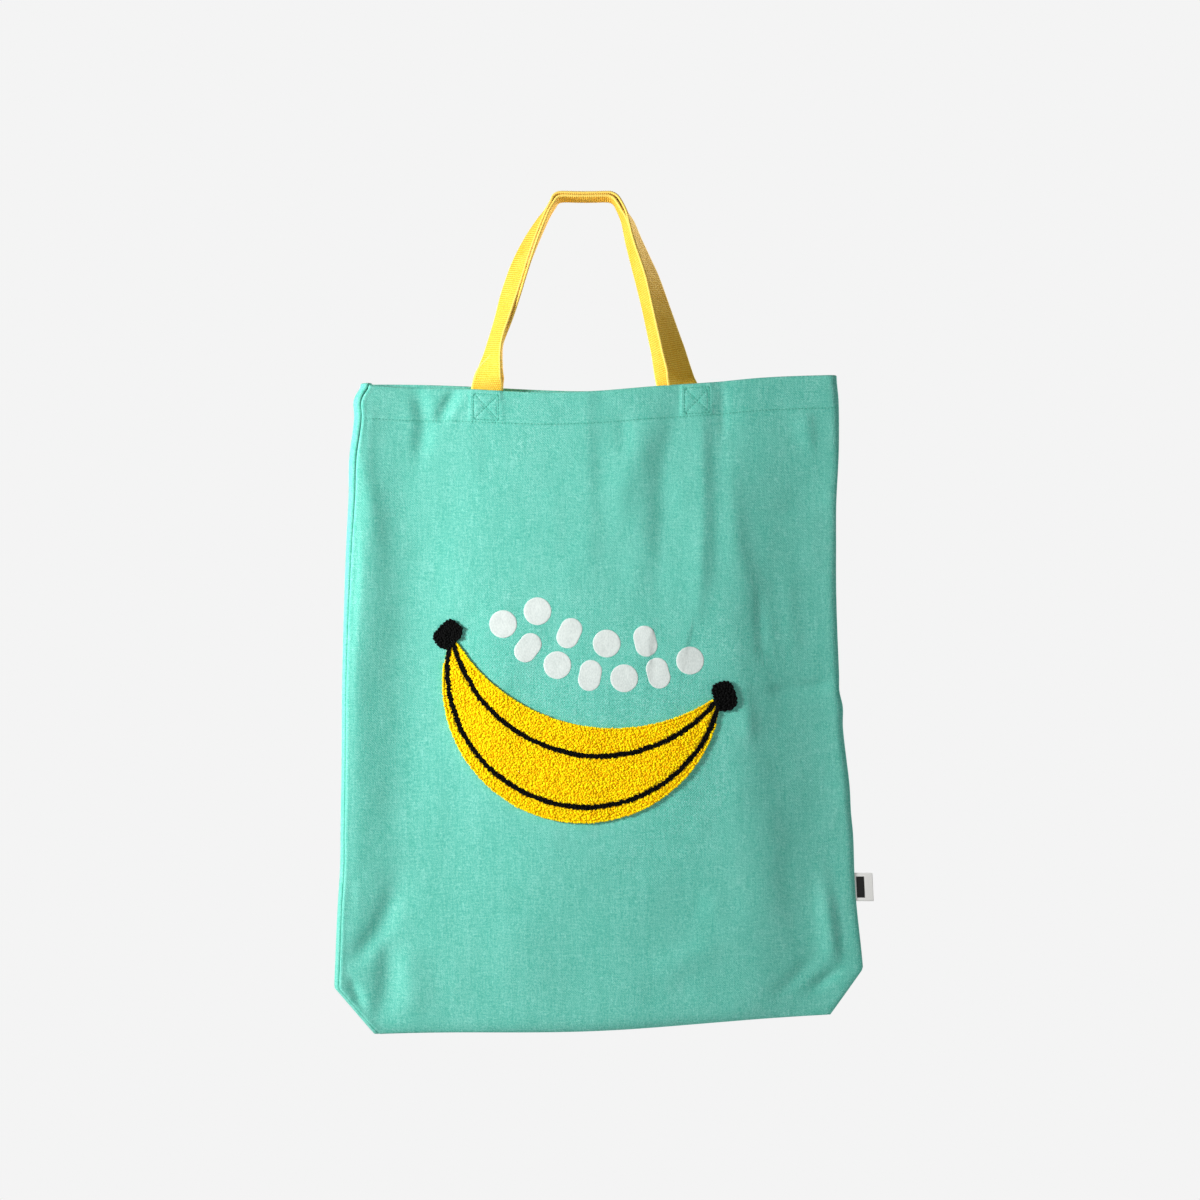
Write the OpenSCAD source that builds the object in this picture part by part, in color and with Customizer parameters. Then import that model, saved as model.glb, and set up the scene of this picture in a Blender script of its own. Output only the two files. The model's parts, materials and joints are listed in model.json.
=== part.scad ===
// Canvas tote bag hanging by two webbing handles.
// Origin: underside of the inner handle, in the middle of its top, where a hook carries the bag.
// +Z is up, -Y is the front, and the bag hangs below the origin with its mouth upwards.

/* [Bag] */
// Width of the bag along its mouth
mouth_w = 384; // [340:2:420]
// Width of the bag at the top of the boxed corners
base_w = 422; // [380:2:460]
// Height of the bag from the mouth to the bottom seam
bag_h = 515; // [440:5:560]
// How far each boxed corner cuts in from the side
corner_in = 28; // [20:1:35]
// How far each boxed corner cuts up from the bottom
corner_up = 39; // [30:1:50]
// Clear depth of the mouth, front panel to back panel
mouth_gap = 14; // [13:1:24]
// Clear depth of the bag where it is fullest
belly_gap = 28; // [20:2:60]
// Width of the rounding from each side seam to the full depth
side_round = 40; // [30:2:80]
// Height of the rounding from the bottom seam to the full depth
base_round = 62; // [50:2:80]
// Thickness of the canvas
cloth_t = 1.2; // [1:0.1:1.6]
// Depth of the folded hem round the mouth
hem_h = 28; // [20:1:34]
// Width of the seam allowances inside the bag
seam_w = 10; // [6:1:14]

/* [Hanging] */
// Drop from the hang point to the middle of the mouth
hang_drop = 144; // [135:1:160]
// How far the middle of the mouth hangs to the right of the hang point
hang_shift = 11; // [0:1:20]
// Slope of the mouth, right side up
mouth_tilt = 1; // [0:0.5:2]
// Slope of the bottom seam, right side up
base_tilt = 2.4; // [0:0.2:3]

/* [Handles] */
// Width of the webbing
strap_w = 25; // [20:1:30]
// Thickness of the webbing
strap_t = 1.8; // [1.2:0.1:2]
// Air between the outer and the inner handle over the hang point
strap_nest = 1.7; // [1.6:0.1:2.5]
// Half length of the flat top of each handle
top_half = 20; // [15:1:24]
// Radius of the bend at each shoulder of the inner handle
shoulder_r = 7; // [6:0.5:9]
// Left end of the front handle, sideways from the middle of the mouth
front_left_x = -90; // [-110:1:-75]
// Right end of the front handle, sideways from the middle of the mouth
front_right_x = 79; // [65:1:95]
// Left end of the back handle, sideways from the middle of the mouth
back_left_x = -88; // [-110:1:-75]
// Right end of the back handle, sideways from the middle of the mouth
back_right_x = 71; // [60:1:95]
// How far the right legs lean in from their sewn ends
right_lean_in = 10; // [0:1:12]

/* [Patch] */
// Distance between the tips of the crescent
patch_w = 219; // [180:1:230]
// Drop from the tips to the crescent's outer edge
patch_outer = 126; // [112:1:130]
// Drop from the tips to the crescent's inner edge
patch_inner = 48; // [40:1:60]
// Height of the looped pile
pile_h = 3.2; // [2:0.2:5]
// Width of the dark ridge lines at their middle
ridge_w = 4; // [3:0.5:6]
// Slope of the crescent, left tip up
patch_turn = 12.5; // [0:0.5:20]

/* [Print] */
// Diameter of the round marks
mark_w = 22; // [12:1:24]
// Radius of the lower row of marks
row_r = 120; // [110:2:130]
// Space between the two rows
row_step = 27; // [24:1:40]

/* [Side tag] */
// Length of the tag beyond the side seam
tag_l = 12; // [8:1:16]
// Height of the tag
tag_h = 22.5; // [16:0.5:30]
// Thickness of the folded tag
tag_t = 1; // [0.8:0.1:1.4]

/* [Hidden] */
$fn = 96;
fold_v = 1 - corner_up / bag_h;
hem_v = hem_h / bag_h;
belly_v = 0.86;
stitch_d = 0.7;
stitch_sunk = 0.25;
hem_stitch_up = 2;
box_inset = 2.5;
end_above = 3.5;
foot_above = 4.6;
leg_knee = 0.56;
left_lean = 28;
right_lean = 23;
patch_x = -10;
patch_down = 227;
pile_sunk = 0.3;
row_x = 16;
row_down = 118;
long_share = 0.8;
long_half = 0.16;
ink_t = 0.3;
ink_sunk = 0.15;
tag_v = 0.803;
tag_start = 0.8;
panel_us = [-1, -0.985, -0.95, -0.88, -0.78, -0.6, -0.2, 0.2, 0.6, 0.78, 0.88, 0.95, 0.985, 1];
panel_vs = [0, hem_v, 0.25, 0.5, 0.7, belly_v, 0.9, fold_v, 0.96, 0.985, 1];
hem_us = [-0.95, -0.88, -0.78, -0.6, -0.2, 0.2, 0.6, 0.78, 0.88, 0.95];
canvas = "mediumaquamarine";
canvas_inside = "cadetblue";
webbing = "gold";
thread = "lightseagreen";

// The bag's skin: u runs from -1 at the left seam to 1 at the right, v from 0 at the mouth to 1 at the bottom.
function mix(a, b, t) = a + (b - a) * t;
function half_w(v) = v < fold_v
    ? mix(mouth_w, base_w, v / fold_v) / 2
    : base_w / 2 - corner_in * (v - fold_v) / (1 - fold_v);
function skin_x(u, v) = hang_shift + u * half_w(v);
function skin_z(u, v) = -hang_drop - v * bag_h
    + u * half_w(v) * mix(tan(mouth_tilt), tan(base_tilt), v);
function rounding(d, reach) = d >= reach ? 1 : sqrt(1 - pow(1 - d / reach, 2));
function middle_depth(v) = mix(mouth_gap, belly_gap, min(1, v / belly_v)) / 2;
function skin_depth(u, v) = middle_depth(v)
    * rounding((1 - abs(u)) * half_w(v), side_round)
    * rounding((1 - v) * bag_h, base_round);
function front_point(u, v, out) = [skin_x(u, v), -skin_depth(u, v) - out, skin_z(u, v)];
panel_slope = atan((belly_gap - mouth_gap) / 2 / (belly_v * bag_h));

// A closed sheet over a grid of the front skin, from the offset near to the offset far.
module skin_sheet(us, vs, near, far) {
    n = len(us);
    rows = len(vs);
    back = n * rows;
    outer = [for (v = vs) for (u = us) front_point(u, v, far)];
    inner = [for (v = vs) for (u = us) front_point(u, v, near)];
    faces = [
        for (i = [0 : rows - 2]) for (j = [0 : n - 2]) let (a = i * n + j) each [
            [a, a + 1, a + n + 1],
            [a, a + n + 1, a + n],
            [back + a, back + a + n + 1, back + a + 1],
            [back + a, back + a + n, back + a + n + 1]
        ],
        for (j = [0 : n - 2]) let (b = (rows - 1) * n + j) each [
            [j, back + j, back + j + 1, j + 1],
            [b, b + 1, back + b + 1, back + b]
        ],
        for (i = [0 : rows - 2]) let (a = i * n, b = i * n + n - 1) each [
            [a, a + n, back + a + n, back + a],
            [b, back + b, back + b + n, b + n]
        ]
    ];
    polyhedron(points = concat(outer, inner), faces = faces, convexity = 6);
}

module at_back() {
    mirror([0, 1, 0]) children();
}

// Draws on the flat middle of the front panel: x from the middle of the mouth, y up, z outwards.
module on_front() {
    translate([hang_shift, -mouth_gap / 2 - cloth_t, -hang_drop])
        rotate([90 - panel_slope, 0, 0])
            children();
}

// Draws at one strap end, square to the mouth, with y = 0 on the mouth's edge.
module at_end(x) {
    on_front()
        translate([x, x * tan(mouth_tilt), 0])
            rotate([0, 0, mouth_tilt])
                children();
}

// The seams follow the outline of the bag, left mouth corner first.
outline = [
    for (c = [[-1, 0], [-1, fold_v], [-1, 1], [1, 1], [1, fold_v], [1, 0]])
        [skin_x(c[0], c[1]), skin_z(c[0], c[1])]
];
function unit(a) = a / norm(a);
function inward(a, b) = let (d = unit(b - a)) [-d[1], d[0]];
function inset(i) = i == 0
    ? outline[0] + seam_w * inward(outline[0], outline[1])
    : i == 5
        ? outline[5] + seam_w * inward(outline[4], outline[5])
        : let (
            p = inward(outline[i - 1], outline[i]),
            q = inward(outline[i], outline[i + 1])
        ) outline[i] + (p + q) * seam_w / (1 + p * q);

module seam(i) {
    color(canvas_inside)
        rotate([90, 0, 0])
            linear_extrude(2 * cloth_t, center = true)
                polygon([outline[i], outline[i + 1], inset(i + 1), inset(i)]);
}

module panel() {
    color(canvas) skin_sheet(panel_us, panel_vs, 0, cloth_t);
}

module hem() {
    color(canvas_inside) skin_sheet(hem_us, [0, hem_v], -cloth_t, 0);
}

module hem_stitching() {
    low = (hem_h - hem_stitch_up + stitch_d) / bag_h;
    high = (hem_h - hem_stitch_up) / bag_h;
    color(thread)
        skin_sheet(hem_us, [high, low], cloth_t - stitch_sunk, cloth_t - stitch_sunk + stitch_d);
}

module box_stitch(x) {
    w = strap_w - 2 * box_inset;
    h = hem_h - hem_stitch_up - 2 * box_inset;
    color(thread)
        at_end(x)
            translate([0, -box_inset - h / 2, -stitch_sunk])
                linear_extrude(stitch_d) {
                    difference() {
                        square([w + stitch_d, h + stitch_d], center = true);
                        square([w - stitch_d, h - stitch_d], center = true);
                    }
                    for (turn = [-1, 1])
                        rotate(turn * atan2(h, w)) square([norm([w, h]), stitch_d], center = true);
                }
}

module strap_end(x) {
    color(webbing)
        at_end(x)
            translate([-strap_w / 2, -hem_h + box_inset, -2 * cloth_t - strap_t])
                cube([strap_w, hem_h - box_inset + end_above, strap_t]);
}

// Handles: one ribbon of webbing, carried flat over the hook and turned to lie along the mouth at its feet.
// A station is [x, y, z, turn, square]: turn is 0 flat along the mouth and 90 flat over the hook,
// and square is 1 (-1 on the left) where the webbing is held square to the mouth.
function bezier(p, t) = pow(1 - t, 2) * p[0] + 2 * t * (1 - t) * p[1] + t * t * p[2];
function foot(side, x, out) = [
    hang_shift + x - (side > 0 ? right_lean_in : 0),
    -(mouth_gap / 2 - cloth_t - strap_t / 2) * out,
    -hang_drop + x * tan(mouth_tilt) + foot_above
];

// One leg from its foot to its shoulder. side is -1 left and 1 right; out is 1 for the front handle.
function leg(side, x, out, r, lean, turns) = let (
    base = foot(side, x, out),
    shoulder = [
        side * (top_half + r * cos(lean)),
        strap_t / 2 + (r - shoulder_r) - r * (1 - sin(lean))
    ],
    reach = leg_knee * (shoulder[1] - base[2]),
    knee = [shoulder[0] + side * reach * tan(lean), shoulder[1] - reach],
    way = [[base[0], base[2]], knee, shoulder]
) [
    for (t = [0, 0.04, 0.1, 0.17, 0.25, 0.35, 0.45, 0.55, 0.65, 0.75, 0.87]) let (p = bezier(way, t))
        [
            p[0],
            base[1] * pow(1 - t, 2),
            p[1],
            mix(turns[0], turns[1], t) * sin(90 * min(1, t * 5)),
            side * max(0, 1 - t * 5)
        ]
];

function shoulder(side, r, lean) = [
    for (i = [0 : 3]) let (a = mix(lean, 90, i / 3))
        [
            side * (top_half + r * cos(a)),
            0,
            strap_t / 2 + (r - shoulder_r) - r * (1 - sin(a)),
            mix(82, 90, i / 3),
            0
        ]
];

function backwards(list) = [for (i = [len(list) - 1 : -1 : 0]) list[i]];

module ribbon(stations) {
    last = len(stations) - 1;
    rings = [
        for (i = [0 : last]) let (
            s = stations[i],
            before = stations[max(0, i - 1)],
            after = stations[min(last, i + 1)],
            free = unit([after[0] - before[0], 0, after[2] - before[2]]),
            way = unit(mix(free, [0, 0, -sign(s[4])], abs(s[4]))),
            out = [-way[2], 0, way[0]],
            across = cos(s[3]) * -out + sin(s[3]) * [0, -1, 0],
            face = cos(s[3]) * [0, -1, 0] + sin(s[3]) * out,
            middle = [s[0], s[1], s[2]]
        ) [
            for (c = [[-1, -1], [1, -1], [1, 1], [-1, 1]])
                middle + across * strap_w / 2 * c[0] + face * strap_t / 2 * c[1]
        ]
    ];
    faces = [
        [0, 1, 2, 3],
        [for (k = [3 : -1 : 0]) last * 4 + k],
        for (i = [0 : last - 1]) for (k = [0 : 3]) let (a = i * 4 + k, b = i * 4 + (k + 1) % 4) each [
            [a, a + 4, b + 4],
            [a, b + 4, b]
        ]
    ];
    polyhedron(points = [for (r = rings) each r], faces = faces, convexity = 8);
}

module handle(ends, out, r) {
    left = concat(leg(-1, ends[0], out, r, left_lean, [60, 72]), shoulder(-1, r, left_lean));
    right = concat(leg(1, ends[1], out, r, right_lean, [35, 80]), shoulder(1, r, right_lean));
    color(webbing) ribbon(concat(left, backwards(right)));
}

// Crescent patch: every edge and ridge is an arc through the same two tips.
function arc_r(drop) = (pow(patch_w / 2, 2) + drop * drop) / (2 * drop);

module arc_disc(drop) {
    translate([0, arc_r(drop) - drop]) circle(arc_r(drop));
}

module between(low, high) {
    difference() {
        arc_disc(low);
        arc_disc(high);
    }
}

module ridge_line(share) {
    drop = mix(patch_inner, patch_outer, share);
    between(drop + ridge_w / 2, drop - ridge_w / 2);
}

module tip_shape(side) {
    translate([side * (patch_w / 2 + 1), -2])
        rotate(side * 30)
            square([18, 24], center = true);
}

// The patch's own plane: x across the crescent from its middle, y up from its tips.
module on_patch() {
    on_front()
        translate([patch_x, -patch_down, -pile_sunk])
            rotate(-patch_turn)
                linear_extrude(pile_h + pile_sunk)
                    children();
}

module patch_pile() {
    color("gold")
        on_patch()
            difference() {
                between(patch_outer, patch_inner);
                tip_shape(-1);
                tip_shape(1);
                ridge_line(0.3);
                ridge_line(0.83);
            }
}

module patch_tip(side) {
    color("black") on_patch() offset(2) offset(-2) tip_shape(side);
}

module patch_ridge(share) {
    color("black")
        on_patch()
            difference() {
                ridge_line(share);
                tip_shape(-1);
                tip_shape(1);
            }
}

// A row of plain printed marks on an arc, round and long ones in turn.
module print_row(r, first, last, count) {
    color("white")
        on_front()
            translate([row_x, -row_down, -ink_sunk])
                linear_extrude(ink_t + ink_sunk)
                    for (i = [0 : count - 1])
                        rotate(mix(first, last, i / (count - 1)) - 90)
                            translate([0, r])
                                if (i % 2 == 0) circle(d = mark_w);
                                else {
                                    square(mark_w * [long_share, 2 * long_half], center = true);
                                    for (end = [-1, 1])
                                        translate([0, end * mark_w * long_half])
                                            circle(d = mark_w * long_share);
                                }
}

// The tag stands out of the right side seam and turns about the seam.
edge_lean = atan2(skin_x(1, fold_v) - skin_x(1, 0), skin_z(1, 0) - skin_z(1, fold_v));

module side_tag() {
    color("whitesmoke")
        translate([skin_x(1, tag_v), 0, skin_z(1, tag_v)])
            rotate([0, -edge_lean, 0])
                translate([tag_start, -tag_t / 2, -tag_h / 2])
                    cube([tag_l, tag_t, tag_h]);
}

panel();  // front_panel
at_back() panel();  // back_panel
hem();  // front_hem
at_back() hem();  // back_hem
seam(0);  // left_side_seam
seam(1);  // left_corner_seam
seam(2);  // bottom_seam
seam(3);  // right_corner_seam
seam(4);  // right_side_seam
handle([front_left_x, front_right_x], 1, shoulder_r + strap_t + strap_nest);  // front_handle
handle([back_left_x, back_right_x], -1, shoulder_r);  // back_handle
strap_end(front_left_x);  // front_left_strap_end
strap_end(front_right_x);  // front_right_strap_end
at_back() strap_end(back_left_x);  // back_left_strap_end
at_back() strap_end(back_right_x);  // back_right_strap_end
hem_stitching();  // front_hem_stitching
at_back() hem_stitching();  // back_hem_stitching
box_stitch(front_left_x);  // front_left_box_stitch
box_stitch(front_right_x);  // front_right_box_stitch
at_back() box_stitch(back_left_x);  // back_left_box_stitch
at_back() box_stitch(back_right_x);  // back_right_box_stitch
patch_pile();
patch_tip(-1);  // patch_left_tip
patch_tip(1);  // patch_right_tip
patch_ridge(0.3);  // patch_upper_ridge
patch_ridge(0.83);  // patch_lower_ridge
print_row(row_r - row_step, 226, 283, 4);  // print_upper_row
print_row(row_r, 220, 298, 7);  // print_lower_row
side_tag();
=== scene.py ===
"""Looks of the canvas tote bag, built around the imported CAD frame."""
import json
import math

import bmesh
import bpy
import numpy as np
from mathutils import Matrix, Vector

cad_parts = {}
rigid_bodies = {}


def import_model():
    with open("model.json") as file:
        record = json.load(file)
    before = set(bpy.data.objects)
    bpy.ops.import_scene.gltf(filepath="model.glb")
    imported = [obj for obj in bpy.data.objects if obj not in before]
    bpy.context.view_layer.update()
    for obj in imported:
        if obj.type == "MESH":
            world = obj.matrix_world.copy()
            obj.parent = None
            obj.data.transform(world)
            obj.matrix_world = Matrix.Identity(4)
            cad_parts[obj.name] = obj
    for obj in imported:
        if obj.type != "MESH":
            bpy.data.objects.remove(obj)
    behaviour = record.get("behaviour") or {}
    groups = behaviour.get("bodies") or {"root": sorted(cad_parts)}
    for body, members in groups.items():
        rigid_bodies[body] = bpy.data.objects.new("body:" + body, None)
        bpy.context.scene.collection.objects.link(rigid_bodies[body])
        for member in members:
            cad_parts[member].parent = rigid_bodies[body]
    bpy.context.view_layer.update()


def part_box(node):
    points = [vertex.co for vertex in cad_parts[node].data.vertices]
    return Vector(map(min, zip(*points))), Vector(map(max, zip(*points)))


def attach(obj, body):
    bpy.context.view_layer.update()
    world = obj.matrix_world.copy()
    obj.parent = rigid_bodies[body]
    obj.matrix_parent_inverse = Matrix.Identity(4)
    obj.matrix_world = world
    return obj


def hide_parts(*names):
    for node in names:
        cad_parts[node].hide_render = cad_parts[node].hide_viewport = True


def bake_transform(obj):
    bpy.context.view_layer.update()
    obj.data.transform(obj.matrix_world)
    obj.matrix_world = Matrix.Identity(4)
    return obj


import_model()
MM = 0.001
rad = math.radians

# ------------------------------------------------------------------ sizes, in mm
MOUTH_W, BAG_H = 384.0, 515.0
BASE_HALF_L, BASE_HALF_R = 211.6, 212.4
CORNER_IN_L, CORNER_IN_R = 32.0, 27.0
HANG_DROP, HANG_SHIFT = 144.0, 11.0
MOUTH_TILT, BASE_TILT = math.tan(rad(1)), math.tan(rad(2.4))
MOUTH_D, BELLY_D = 7.0, 14.0
CLOTH = 1.2
REACH_L, REACH_R, BASE_REACH, EDGE_R = 34.0, 40.0, 16.0, 7.0
LIP = 1.5
HEM_H, STITCH_DOWN = 28.0, 26.0
FOLD_L, FOLD_R = 1 - 37.9 / BAG_H, 1 - 35.8 / BAG_H
SEAM_PHI = 27.0
STRAP_W, STRAP_T = 25.0, 2.1
RIB_PITCH = 1.7
BOX_HALF_W, BOX_HALF_H, BOX_MID = 10.0, 10.5, 13.5
THREAD_W, THREAD_LIFT = 0.34, 0.2
FRONT_ENDS = (-79.0, 89.0)
BACK_ENDS = (-79.0, 76.0)


def smooth(t):
    t = np.clip(t, 0, 1)
    return t * t * (3 - 2 * t)


def bell(x, centre, width):
    return np.exp(-(((x - centre) / width) ** 2))


def lattice_noise(x, z, cell, seed):
    """Smooth noise from -1 to 1 on a square lattice."""
    rng = np.random.RandomState(seed)
    table = rng.uniform(-1, 1, (64, 64))
    a, b = x / cell + 1000, z / cell + 1000
    i, j = np.floor(a).astype(int), np.floor(b).astype(int)
    s, t = smooth(a - i), smooth(b - j)
    pick = lambda p, q: table[p % 64, q % 64]
    low = pick(i, j) * (1 - s) + pick(i + 1, j) * s
    high = pick(i, j + 1) * (1 - s) + pick(i + 1, j + 1) * s
    return low * (1 - t) + high * t


def spline(points, count):
    """Catmull-Rom through the points, evenly in its own parameter."""
    p = np.array(points, float)
    p = np.vstack([2 * p[0] - p[1], p, 2 * p[-1] - p[-2]])
    out = []
    last = len(p) - 3
    for t in np.linspace(0, last, count):
        i = min(int(t), last - 1)
        f = t - i
        a, b, c, d = p[i:i + 4]
        out.append(0.5 * (2 * b + (c - a) * f + (2 * a - 5 * b + 4 * c - d) * f ** 2
                          + (3 * b - a - 3 * c + d) * f ** 3))
    return np.array(out)


def unit(vectors):
    """Each vector at length 1."""
    return vectors / np.linalg.norm(vectors, axis=-1, keepdims=True)


def run_length(points):
    """Distance along a line of points, from the first one."""
    return np.r_[0, np.cumsum(np.linalg.norm(np.diff(points, axis=0), axis=1))]


def turned(x, y, angle):
    c, s = math.cos(angle), math.sin(angle)
    return x * c - y * s, x * s + y * c


# ------------------------------------------------------------------ the bag's skin
def half_w(v, base, fold, inward):
    upper = (MOUTH_W / 2 + (base - MOUTH_W / 2) * v / fold)
    lower = base - inward * (v - fold) / (1 - fold)
    return np.where(v < fold, upper, lower)


def left_x(v):
    z = -HANG_DROP - v * BAG_H
    wave = -4.5 * bell(z, -262, 105) - 2.5 * bell(z, -160, 9) + 3.0 * bell(z, -145, 6)
    wave = wave - 1.9 * bell(z, -202, 22) - 2.2 * bell(z, -380, 75) + 0.9 * bell(z, -525, 25)
    return HANG_SHIFT - half_w(v, BASE_HALF_L, FOLD_L, CORNER_IN_L) + wave + 0.9 * bell(z, -164, 7)


def right_x(v):
    z = -HANG_DROP - v * BAG_H
    wave = -8.6 * bell(z, -325, 105) - 4.2 * bell(z, -555, 55) - 1.2 * bell(z, -146, 12)
    wave = wave - 1.2 * bell(z, -245, 30) - 0.4 * bell(z, -305, 60) - 5.5 * bell(z, -430, 70)
    wave = wave + 1.5 * bell(z, -412, 10) - 0.7 * bell(z, -398, 8) - 1.0 * bell(z, -496, 15)
    return HANG_SHIFT + half_w(v, BASE_HALF_R, FOLD_R, CORNER_IN_R) + wave


def mouth_sag(x, side):
    if side < 0:
        return 10.6 * bell(x, -16, 108) + 1.9 * bell(x, -145, 32) + 1.5 * bell(x, 100, 34)
    return 8.6 * bell(x, 10, 105)


def plain_z(x, v, side):
    rise = (x - HANG_SHIFT) * (MOUTH_TILT * (1 - v) + BASE_TILT * v)
    low = 5.4 * bell(x, 8, 112) * np.clip(v, 0, 1) ** 4
    return -HANG_DROP - v * BAG_H + rise - mouth_sag(x, side) * (1 - v) ** 2 - low


def full_depth(v):
    flat = MOUTH_D + (BELLY_D - MOUTH_D) * smooth(v / 0.6) + CLOTH
    flat = flat * (1 - 0.50 * smooth((v - 0.62) / 0.40))
    s = np.clip((1 - v) * BAG_H / BASE_REACH, 0, 1)
    taper = np.sqrt(1 - (1 - s) ** 2)
    return LIP + (flat - LIP) * taper, taper


# How full the bag is across its width, as (share of the half width, share of the depth).
FRONT_SWELL = [
    (-1.1, 0.82), (-1, 0.82), (-0.93, 0.78), (-0.86, 0.66), (-0.76, 0.49), (-0.67, 0.48), (-0.58, 0.58),
    (-0.46, 0.79), (-0.3, 0.98), (-0.05, 1.12), (0.15, 1.20), (0.32, 1.22), (0.48, 1.18), (0.59, 1.08),
    (0.71, 0.75), (0.82, 0.46), (0.91, 0.30), (1, 0.24),
    (1.1, 0.24),
]
BACK_SWELL = [
    (-1.1, 0.6), (-1, 0.6), (-0.8, 0.66), (-0.5, 0.9), (0, 1.0), (0.4, 0.92), (0.8, 0.62), (1, 0.52),
    (1.1, 0.5),
]


FRONT_TABLE, BACK_TABLE = spline(FRONT_SWELL, 400), spline(BACK_SWELL, 400)


def swell(x, v, front):
    table = FRONT_TABLE if front else BACK_TABLE
    half = (right_x(v) - left_x(v)) / 2
    u = (x - (right_x(v) + left_x(v)) / 2) / half
    share = np.interp(u, table[:, 0], table[:, 1])
    return 1 + (share - 1) * (0.6 + 0.4 * smooth(v / 0.16))


# A fold: points (x, z), height towards the outside (below 0 a valley), width left and right of the path.
FRONT_FOLDS = [
    ([(-180, -144), (-180, -165), (-179, -200)], 1.5, 8, 24),
    ([(78, -146), (74, -180), (67, -205), (64, -230), (65, -252), (62, -290), (57, -330)], -3.1, 13.5, 52),
    ([(50, -172), (40, -207), (30, -235), (26, -262)], 0.8, 14, 10),
    ([(92, -150), (92, -190), (92, -230), (92, -270), (90, -305), (86, -330)], 2.0, 46, 9.5),
    ([(106, -180), (107, -238), (108, -285)], -0.12, 8, 8),
    ([(109, -146), (109.6, -170), (110, -194)], -0.9, 2.2, 3.4),
    ([(114, -206), (115, -238), (120, -280), (130, -315), (138, -345)], 1.3, 46, 10),
    ([(31, -172), (30, -207)], -0.6, 6, 6),
    ([(0, -148), (2, -220), (4, -300)], 0.7, 26, 8),
    ([(-174, -166), (-175, -212), (-169, -252), (-168, -290)], 0.7, 7, 8),
    ([(-136, -146), (-129, -178), (-134, -212)], -1.5, 6, 7),
    ([(-101, -150), (-110, -165), (-119, -181)], -1.7, 5, 5),
    ([(-177, -150), (-177, -230), (-175, -300), (-178, -345), (-181, -400), (-182, -540)], 2.2, 9, 22),
    ([(-150, -545), (-163, -580), (-190, -614)], -1.7, 8, 8),
    ([(-156, -586), (-157.5, -622), (-164, -664)], -1.8, 8, 11),
    ([(-188, -620), (-177, -646)], -1.6, 4, 4),
    ([(-150, -590), (-140, -625), (-136, -655)], 1.0, 9, 14),
    ([(146, -470), (147, -520), (151, -561), (161, -622)], 1.0, 26, 11),
    ([(191, -540), (196, -585), (199, -612)], 1.7, 8, 5),
    ([(127, -392), (131, -436)], 0.9, 7, 6),
    ([(136, -392), (172, -390), (206, -385)], -1.3, 7, 5),
    ([(149, -246), (175, -243), (200, -240)], -0.6, 3, 3),
    ([(176, -168), (181, -204)], 0.8, 8, 4),
    ([(50, -618), (82, -606), (112, -590)], 0.8, 12, 10),
    ([(78, -545), (86, -580)], -0.7, 14, 14),
    ([(137, -312), (141, -372)], -0.7, 4, 5),
    ([(160, -292), (167, -366)], 0.4, 7, 6),
    ([(-60, -560), (-40, -640)], 0.5, 24, 18),
    ([(-10, -420), (-4, -520), (6, -600)], 0.5, 30, 22),
    ([(20, -470), (24, -500)], -0.4, 6, 6),
    ([(-118, -420), (-122, -520), (-112, -640)], 0.6, 22, 20),
    ([(180, -632), (205, -612)], -1.4, 5, 5),
    ([(152, -636), (186, -604)], -0.9, 6, 6),
]
BACK_FOLDS = [
    ([(-82, -148), (-80, -200), (-88, -260), (-96, -320)], -2.4, 8, 6),
    ([(-62, -170), (-66, -230), (-78, -290)], 1.3, 8, 7),
    ([(70, -148), (74, -190), (84, -250), (88, -330)], -2.2, 6, 8),
    ([(92, -175), (104, -240), (110, -300)], 1.4, 8, 7),
    ([(190, -170), (184, -260), (190, -400), (200, -540)], 2.4, 16, 10),
    ([(-168, -200), (-172, -320), (-176, -520)], 2.2, 11, 17),
    ([(160, -548), (182, -590), (204, -618)], -3.0, 5, 6),
    ([(168, -586), (172, -622), (178, -650)], -3.0, 5, 6),
    ([(-148, -560), (-166, -596), (-186, -618)], -3.0, 6, 5),
    ([(-146, -600), (-152, -640), (-158, -664)], -2.6, 5, 6),
    ([(-30, -300), (-10, -420), (-20, -560)], 0.9, 34, 24),
    ([(60, -380), (48, -480), (58, -600)], 0.8, 26, 22),
    ([(-110, -360), (-104, -460)], -0.8, 14, 18),
]


def fold_height(x, z, folds):
    total = np.zeros_like(x)
    for points, height, wide_l, wide_r in folds:
        path = spline(points, 9 * (len(points) - 1) + 1) if len(points) > 2 else spline(points, 7)
        seg = path[1:] - path[:-1]
        reach = 3.2 * max(wide_l, wide_r)
        near = ((x > path[:, 0].min() - reach) & (x < path[:, 0].max() + reach)
                & (z > path[:, 1].min() - reach) & (z < path[:, 1].max() + reach))
        if not near.any():
            continue
        px, pz = x[near], z[near]
        best = np.full(px.shape, 1e9)
        side = np.zeros(px.shape)
        along = np.zeros(px.shape)
        for k, (d, a) in enumerate(zip(seg, path[:-1])):
            t = np.clip(((px - a[0]) * d[0] + (pz - a[1]) * d[1]) / (d @ d), 0, 1)
            ex, ez = px - a[0] - t * d[0], pz - a[1] - t * d[1]
            dist = ex * ex + ez * ez
            closer = dist < best
            best = np.where(closer, dist, best)
            side = np.where(closer, ex * -d[1] + ez * d[0], side)
            along = np.where(closer, (k + t) / len(seg), along)
        # Paths run downwards, so a positive side is to the right of the path.
        mixer = smooth(0.5 + side / np.sqrt(d @ d) / 4)
        wide = wide_l + (wide_r - wide_l) * mixer
        fade = smooth(along * 3.2) * smooth((1 - along) * 3.2)
        fade = 0.25 + 0.75 * fade
        end = np.minimum(1, np.exp(-np.maximum(0, best - wide ** 2 * 6)))
        total[near] += height * fade * end * np.exp(-best / wide ** 2)
    return total


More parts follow.
